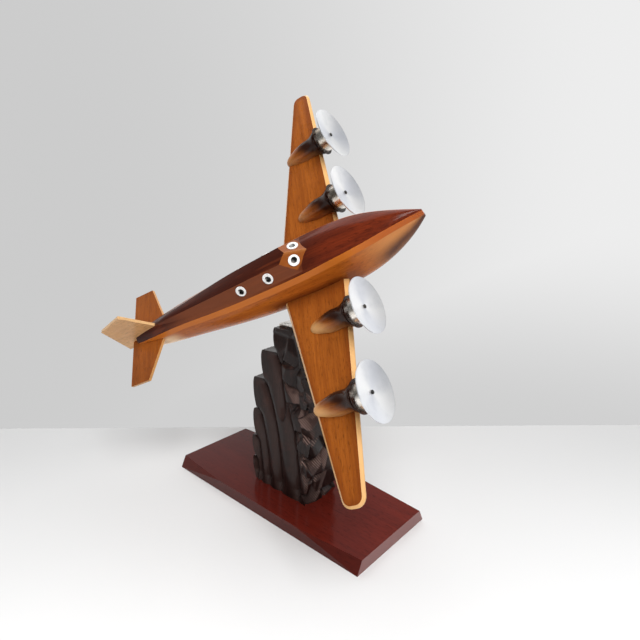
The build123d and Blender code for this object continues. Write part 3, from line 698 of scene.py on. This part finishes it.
def rock_left(z, low_at_foot):
    """Left edge of the rock at height z: rounded lobes, one over another."""
    low = low_at_foot
    for number, (left, top) in enumerate(ROCK_STEPS):
        if z <= top or number + 1 == len(ROCK_STEPS):
            share = min(1.0, (z - low) / (top - low))
            if share < BELLY_SHARE:
                return left + STEP_NOTCH * (1 - share / BELLY_SHARE) ** 2
            return left + STEP_BROW * ((share - BELLY_SHARE) / (1 - BELLY_SHARE)) ** 3
        low = top
    return ROCK_STEPS[-1][0]


def flute_depth(x, z):
    """How deep the curved flutes of the left part cut in at a point of the front."""
    depth = 0.0
    for start_x, start_z, end_z, run in FLUTES:
        if end_z - FLUTE_BELOW < z < start_z + FLUTE_ABOVE:
            middle = start_x + run * (1 - math.exp(-max(0.0, start_z - z) / FLUTE_BEND))
            above = (start_z + FLUTE_ABOVE - z) / FADE_ABOVE
            below = (z - end_z + FLUTE_BELOW) / FADE_BELOW
            fade = min(1.0, above, below)
            depth = max(depth, fade * FLUTE_DEPTH * math.exp(-abs(x - middle) / FLUTE_WIDTH))
    return depth


def make_chunks(seed, across, low, high):
    """Chiselled blocks of one face: centre, half size, lean, side slopes, height and tilt."""
    random.seed(seed)
    chunks = []
    z = low - 2
    shift = 0.0
    while z < high + 10:
        u = -across / 2 - 4 + shift
        while u < across / 2 + 12:
            chunks.append((
                u + random.uniform(-2.5, 2.5),
                z + random.uniform(-4, 4),
                random.uniform(8.5, 12.0),
                random.uniform(-0.5, 0.5),
                random.uniform(0.4, 0.7),
                random.uniform(1.8, 2.6),
                random.uniform(1.1, 2.0),
                random.uniform(7.0, 10.0),
                random.uniform(-0.38, 0.38),
                random.uniform(-0.3, 0.12),
            ))
            u += random.uniform(18, 23)
        shift = random.uniform(4, 10) if shift == 0.0 else 0.0
        z += random.uniform(19, 24)
    return chunks


def chunk_height(chunks, u, z):
    """How far the chiselled blocks stand out at a point of their face."""
    best = 0.0
    for cu, cz, half, lean, up_slope, down_slope, side_slope, height, tilt_u, tilt_z in chunks:
        du, dz = u - cu, z - cz
        if abs(du) > BLOCK_REACH_U or abs(dz) > BLOCK_REACH_Z:
            continue
        du, dz = du + lean * dz, dz - 0.5 * lean * du
        above = up_slope * (dz - half * 0.2)
        below = down_slope * (-half - dz)
        beside = side_slope * (abs(du) - half * 0.8)
        fall = max(above, below, beside)
        level = height - max(0.0, fall) + tilt_u * du + tilt_z * dz
        best = max(best, level)
    return best


def weld(mesh, reach):
    shape = bmesh.new()
    shape.from_mesh(mesh)
    bmesh.ops.remove_doubles(shape, verts=shape.verts, dist=reach)
    bmesh.ops.dissolve_degenerate(shape, edges=shape.edges, dist=0.1 * reach)
    bmesh.ops.recalc_face_normals(shape, faces=shape.faces)
    shape.to_mesh(mesh)
    shape.free()
    mesh.validate()


class Carving:
    """The rock's outline and how deep its faces are carved, in millimetres."""

    def __init__(self, base, top):
        self.base = base
        self.top = top
        self.front_chunks = make_chunks(*FRONT_BLOCKS, base, top)
        self.right_chunks = make_chunks(*RIGHT_BLOCKS, base, top)
        self.back_chunks = make_chunks(*BACK_BLOCKS, base, top)

    def edges(self, z):
        share = (z - self.base) / (self.top - self.base)
        left = rock_left(z, self.base)
        right = RIGHT_FACE - RIGHT_LEAN * share
        front = FRONT_FACE + FRONT_LEAN * share
        back = BACK_FACE - BACK_LEAN * share
        return left, right, front, back

    def front_depth(self, x, z):
        """Flutes on the left, blocks beyond a slanting border, shallower near the summit."""
        border = BORDER_X + BORDER_RUN * (BORDER_Z - z) / BORDER_DROP
        share = min(1.0, max(0.0, (x - border + BORDER_SOFT / 2) / BORDER_SOFT))
        chunky = max(0.0, BLOCK_HEIGHT - chunk_height(self.front_chunks, x, z))
        chunky *= min(1.0, max(SUMMIT_FADE_LEAST, (SUMMIT_FADE_END - z) / SUMMIT_FADE_LENGTH))
        return (1 - share) * (flute_depth(x, z) + FLUTE_FLOOR) + share * chunky

    def right_depth(self, y, z):
        return max(0.0, BLOCK_HEIGHT - chunk_height(self.right_chunks, y, z))

    def back_depth(self, x, z):
        """The front's flutes mirrored, up to an upright border, and blocks beyond it."""
        share = min(1.0, max(0.0, (x - BACK_BORDER_X) / BACK_BORDER_SOFT))
        chunky = max(0.0, BACK_BLOCK_HEIGHT - chunk_height(self.back_chunks, x, z))
        return (1 - share) * (flute_depth(-x - BACK_BORDER_X, z) + FLUTE_FLOOR) + share * chunky

    def ring(self, z):
        """Points round the rock at one height: front, right, back and left."""
        left, right, front, back = self.edges(z)
        near_right = (right - self.right_depth(front, z), front + self.front_depth(right, z))
        far_right = (right - self.right_depth(back, z), back - self.back_depth(right, z))
        far_left = (left + LEFT_INSET, back - self.back_depth(left, z))
        near_left = (left + LEFT_INSET, front + self.front_depth(left, z))
        points = []
        for i in range(CELLS_ACROSS):
            x = column(i / CELLS_ACROSS, near_left[0], near_right[0])
            points.append((x, front + self.front_depth(x, z), z))
        for i in range(CELLS_DEEP):
            y = near_right[1] + (far_right[1] - near_right[1]) * i / CELLS_DEEP
            points.append((right - self.right_depth(y, z), y, z))
        for i in range(CELLS_ACROSS):
            x = column(1 - i / CELLS_ACROSS, far_left[0], far_right[0])
            points.append((x, back - self.back_depth(x, z), z))
        for i in range(CELLS_DEEP):
            share = i / CELLS_DEEP
            y = far_left[1] + (near_left[1] - far_left[1]) * share
            points.append((left_place(left, share, z), y, z))
        return points


def column(share, left, right):
    """Fixed columns, stopped at the left edge, so that the ledges there don't crack the face."""
    x = ROCK_STEPS[0][0] + (right - ROCK_STEPS[0][0]) * share
    return max(left, x)


def left_place(left, share, z):
    """X of the left face, rounded and rippled from back to front."""
    bulge = LEFT_BULGE * math.sin(math.pi * share) ** 0.6
    ripple = LEFT_RIPPLE * math.cos(6.5 * math.pi * share + 0.05 * z)
    return left + LEFT_INSET - min(LEFT_INSET, bulge * 0.3) + abs(ripple)


def ring_faces(rows, ring):
    """Quads between one ring of points and the next, and a face on each end."""
    faces = []
    for row in range(rows):
        for i in range(ring):
            a = row * ring + i
            b = row * ring + (i + 1) % ring
            faces.append((a, b, b + ring, a + ring))
    faces.append(tuple(range(ring - 1, -1, -1)))
    faces.append(tuple(range(rows * ring, (rows + 1) * ring)))
    return faces


def sculpted_rock():
    low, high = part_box("rock_stand")
    base = low.z / MM
    top = high.z / MM
    carving = Carving(base, top)
    rows = int((top - base) / ROCK_CELL)
    points = []
    for row in range(rows + 1):
        points += carving.ring(base + (top - base) * row / rows)
    faces = ring_faces(rows, 2 * (CELLS_ACROSS + CELLS_DEEP))
    mesh = bpy.data.meshes.new("rock_carving")
    mesh.from_pydata([Vector(point) * MM for point in points], [], faces)
    weld(mesh, WELD_REACH * MM)
    mesh.shade_smooth()
    mesh.set_sharp_from_angle(angle=math.radians(ROCK_SHARP_ANGLE))
    rock = bpy.data.objects.new("rock_carving", mesh)
    bpy.context.collection.objects.link(rock)
    return rock


# Directions of the painted light on the carving: blocks facing the first are painted lighter as if lit,
# flanks facing the second get a painted sheen.
LIT_SIDE = (0.6, -0.45, 0.66)
SHEEN_SIDE = (0.62, -0.75, 0.22)
# The blocks begin where X plus this share of Z goes from the start to the end.
BORDER_LEAN = 0.272
BORDER_START = 42.0
BORDER_END = 54.0
HATCH_TURN = 2.2  # radians per millimetre across the strokes


def rock_wood():
    surface = Surface("rock_ebonised", coat=0.22, coat_roughness=0.12, specular=0.12)
    parts = grain(surface, "ZXY", 31.0, band=0.12)
    colour = wood_colour(surface, parts, ROCK_LIGHT, ROCK_DARK)
    worn = surface.noise(surface.place, 0.05, 4.0, 0.6)
    colour = surface.mix(surface.step(worn, 0.52, 0.7, 0.0, 0.4), colour, ROCK_WORN)
    rise = surface.plus(surface.y, surface.times(surface.z, 1.1))
    slant = surface.plus(surface.times(surface.x, 0.9), rise)
    hatch = surface.math("SINE", surface.times(slant, HATCH_TURN))
    border = surface.plus(surface.times(surface.z, BORDER_LEAN), surface.x)
    beyond = surface.step(border, BORDER_START, BORDER_END)
    chunky = surface.times(beyond, surface.step(worn, 0.42, 0.56))
    # Painted light: the blocks facing the key light are painted lighter.
    lit_facets = surface.step(surface.facing(LIT_SIDE), 0.55, 0.92)
    block = surface.times(beyond, surface.step(surface.z, 150.0, 128.0))
    lit_facets = surface.times(lit_facets, block)
    # The hatch strokes are carving, painted pale only on the lit blocks: part carving, part painted
    # highlight.
    hatch = surface.times(surface.step(hatch, 0.0, 0.9), surface.times(chunky, lit_facets))
    colour = surface.mix(surface.times(lit_facets, 0.6), colour, ROCK_LIT)
    colour = surface.mix(surface.times(hatch, 0.7), colour, ROCK_LIT_HATCH)
    # Painted sheen: the flanks of the flute ridges that face right, left of the blocks, are painted
    # lighter.
    flank_sheen = surface.step(surface.facing(SHEEN_SIDE), 0.72, 0.98)
    flank_sheen = surface.times(flank_sheen, surface.step(border, BORDER_END, BORDER_START))
    colour = surface.mix(surface.times(flank_sheen, 0.4), colour, ROCK_SHEEN)
    fibres = parts[2]
    tool = surface.noise(surface.place, 0.35, 3.0, 0.6)
    cuts = surface.plus(surface.times(hatch, 0.5), surface.times(fibres, 0.3))
    relief = surface.plus(surface.times(tool, 0.7), cuts)
    surface.bump(relief, 0.35, 0.6)
    roughness = surface.step(worn, 0.35, 0.7, 0.26, 0.5)
    return surface.finish(colour, surface.plus(roughness, surface.times(fibres, 0.06)))


# --------------------------------------------------------------------- stage
TABLE_BEYOND = 0.633  # from under the camera to the table's far edge
TABLE_NEAR = 1.6
TABLE_HALF_WIDTH = 2.2
WALL_LEFT = 0.60
WALL_RIGHT = 0.85
WALL_LOW = 0.63
ROOM_DARK = 0.12
ROOM_BRIGHT = 1.0
CEILING_SHARE = 0.35
LIGHT_TARGET = (0.02, 0.0, 0.2)


def looking_ahead():
    """Level direction from the camera's side of the table towards the wall."""
    heading = math.radians(CAMERA_HEADING)
    return Vector((-math.sin(heading), math.cos(heading), 0))


def flat_sheet(name, corners, material):
    mesh = bpy.data.meshes.new(name)
    mesh.from_pydata(corners, [], [(0, 1, 2, 3)])
    mesh.materials.append(material)
    sheet = bpy.data.objects.new(name, mesh)
    bpy.context.collection.objects.link(sheet)
    return sheet


def stage():
    surface = Surface("table_white")
    cloud = surface.noise(surface.place, 0.01, 3.0)
    ahead = looking_ahead()
    beyond = surface.plus(surface.times(surface.x, ahead.x), surface.times(surface.y, ahead.y))
    # Painted light: the table is painted paler towards the camera and darker towards the wall.
    lit_share = surface.step(beyond, 120.0, -330.0)
    colour = surface.mix(lit_share, TABLE_FAR_SHADE, TABLE_CLOSE_LIT)
    colour = surface.mix(surface.times(cloud, 0.3), colour, TABLE_CLOUD)
    material = surface.finish(colour, surface.step(cloud, 0.3, 0.7, 0.45, 0.55))
    right = ahead.cross(Vector((0, 0, 1)))
    foot = Vector((CAMERA_PLACE[0], CAMERA_PLACE[1], 0))
    far = foot + ahead * TABLE_BEYOND
    near = foot - ahead * TABLE_NEAR
    side = right * TABLE_HALF_WIDTH
    flat_sheet("table_top", [near - side, near + side, far + side, far - side], material)


def area_light(name, place, size, power):
    data = bpy.data.lights.new(name, "AREA")
    data.shape = "RECTANGLE"
    data.size, data.size_y = size
    data.energy = power
    light = bpy.data.objects.new(name, data)
    light.location = place
    light.rotation_mode = "QUATERNION"
    light.rotation_quaternion = (Vector(LIGHT_TARGET) - Vector(place)).to_track_quat("-Z", "Y")
    bpy.context.collection.objects.link(light)


def combined(tree, operation, first, second):
    node = tree.nodes.new("ShaderNodeMath")
    node.operation = operation
    tree.links.new(first, node.inputs[0])
    tree.links.new(second, node.inputs[1])
    return node.outputs[0]


def room_tone(tree, direction, height):
    """Grey that lights the model: bright beyond the table, dark behind the camera and overhead."""
    toward_wall = tree.nodes.new("ShaderNodeVectorMath")
    toward_wall.operation = "DOT_PRODUCT"
    tree.links.new(direction, toward_wall.inputs[0])
    toward_wall.inputs[1].default_value = looking_ahead()
    room = gradient(tree, toward_wall.outputs["Value"], -0.15, 0.55, ROOM_DARK, ROOM_BRIGHT)
    ceiling = gradient(tree, height, 0.3, 0.6, 1.0, CEILING_SHARE)
    return combined(tree, "MULTIPLY", room, ceiling)


def wall_tone(tree, x, height):
    """Grey of the wall the camera sees: paler to the right and upwards, painted light falling from that
    side.
    """
    across = gradient(tree, x, -0.98, -0.2, WALL_LEFT, WALL_RIGHT)
    upwards = gradient(tree, height, -0.42, -0.06, WALL_LOW, WALL_RIGHT)
    return combined(tree, "MINIMUM", across, upwards)


def studio_world():
    """Two rooms in one world: a pale wall for the camera, a directional one for the light."""
    world = bpy.data.worlds.new("studio")
    bpy.context.scene.world = world
    world.use_nodes = True
    tree = world.node_tree
    room = tree.nodes["Background"]
    wall = tree.nodes.new("ShaderNodeBackground")
    source = tree.nodes.new("ShaderNodeTexCoord")
    split = tree.nodes.new("ShaderNodeSeparateXYZ")
    direction = source.outputs["Generated"]
    tree.links.new(direction, split.inputs[0])
    x, height = split.outputs[0], split.outputs[2]
    tree.links.new(room_tone(tree, direction, height), room.inputs["Color"])
    tree.links.new(wall_tone(tree, x, height), wall.inputs["Color"])
    path = tree.nodes.new("ShaderNodeLightPath")
    choose = tree.nodes.new("ShaderNodeMixShader")
    tree.links.new(path.outputs["Is Camera Ray"], choose.inputs[0])
    tree.links.new(room.outputs[0], choose.inputs[1])
    tree.links.new(wall.outputs[0], choose.inputs[2])
    tree.links.new(choose.outputs[0], tree.nodes["World Output"].inputs["Surface"])


def lighting():
    studio_world()
    area_light("key", place=(0.75, -0.5, 1.25), size=(0.9, 0.8), power=24.0)
    area_light("top_fill", place=(-0.5, 0.3, 1.4), size=(1.4, 1.0), power=7.5)


def gradient(tree, value, start, end, low, high):
    """Grey that goes smoothly from low to high as the value goes from start to end."""
    ramp = tree.nodes.new("ShaderNodeMapRange")
    ramp.interpolation_type = "SMOOTHSTEP"
    tree.links.new(value, ramp.inputs["Value"])
    ramp.inputs["From Min"].default_value = start
    ramp.inputs["From Max"].default_value = end
    ramp.inputs["To Min"].default_value = low
    ramp.inputs["To Max"].default_value = high
    return ramp.outputs[0]


def camera():
    data = bpy.data.cameras.new("view")
    data.lens = CAMERA_LENS
    data.sensor_width = CAMERA_SENSOR
    data.clip_start = CAMERA_NEAR_CLIP
    eye = bpy.data.objects.new("view", data)
    eye.matrix_world = (
        Matrix.Translation(CAMERA_PLACE)
        @ turn(CAMERA_HEADING, "Z")
        @ turn(90 + CAMERA_PITCH, "X")
        @ turn(CAMERA_ROLL, "Z")
    )
    bpy.context.collection.objects.link(eye)
    bpy.context.scene.camera = eye
    bpy.context.scene.view_settings.view_transform = "Standard"


# ------------------------------------------------------------------ assembly
def dress(frame, node, material):
    for slot in frame["nodes"][node].material_slots:
        slot.material = material


def dress_aircraft(frame):
    dress(frame, "fuselage_hull", hull_wood())
    dress(frame, "fuselage_deck", deck_wood())
    dress(frame, "tailplane", tail_wood("tailplane_wood", "YXZ", AMBER, AMBER_DARK, PALE))
    dress(frame, "fin", tail_wood("fin_wood", "XZY", FIN_LIGHT, FIN_DARK, FIN_EDGE_HIGHLIGHT))
    # Black of the disc pins, also used for the painted shade down each window.
    pin = worn_metal("black_pin_and_hole_shade", BLACK_PIN_AND_HOLE_SHADE, PIN_WORN, 0.3, 0.5)
    for node in [name for name in frame["nodes"] if "eyelet" in name]:
        seat = turned_frame(frame["nodes"][node])
        dress(frame, node, eyelet_enamel(f"{node}_enamel", seat))
        eyelet_shadow(f"{node}_hole", seat).data.materials.append(pin)
    beech = plain_beech()
    for name, side in (("left", 1), ("right", -1)):
        dress(frame, f"wing_{name}", wing_wood(f"wing_wood_{name}", side))
        dress(frame, f"wing_dowels_{name}", beech)
        for number, place in enumerate(("inner", "outer")):
            engine = engine_frame(side, place)
            tag = f"{name}_{place}"
            seed = 2.0 + 4 * side + number
            spray = NACELLE_SPRAY[name]
            dress(frame, f"nacelle_{tag}", nacelle_wood(f"nacelle_wood_{tag}", engine, seed, *spray))
            dress(frame, f"nacelle_dowel_{tag}", beech)
            dress(frame, f"collar_{tag}", collar_metal(f"collar_nickel_{tag}", engine, seed))
            dress(frame, f"propeller_disc_{tag}", disc_metal(f"disc_aluminium_{tag}", engine, seed))
            dress(frame, f"disc_pin_{tag}", pin)


def dress_stand(frame):
    dress(frame, "base_board", base_wood())
    steel = worn_metal("screw_steel", STEEL_LIGHT, STEEL_DARK, 0.25, 0.45)
    nickel = worn_metal("mount_nickel", MOUNT_LIGHT, MOUNT_DARK, 0.16, 0.38)
    for node in ("base_screws", "plate_screws"):
        dress(frame, node, steel)
    for node in ("mounting_plate", "support_post", "post_nut"):
        dress(frame, node, nickel)
    rock = sculpted_rock()
    rock.data.materials.append(rock_wood())
    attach(rock, "root")
    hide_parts("rock_stand")


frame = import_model()
camera()
stage()
lighting()
dress_aircraft(frame)
dress_stand(frame)
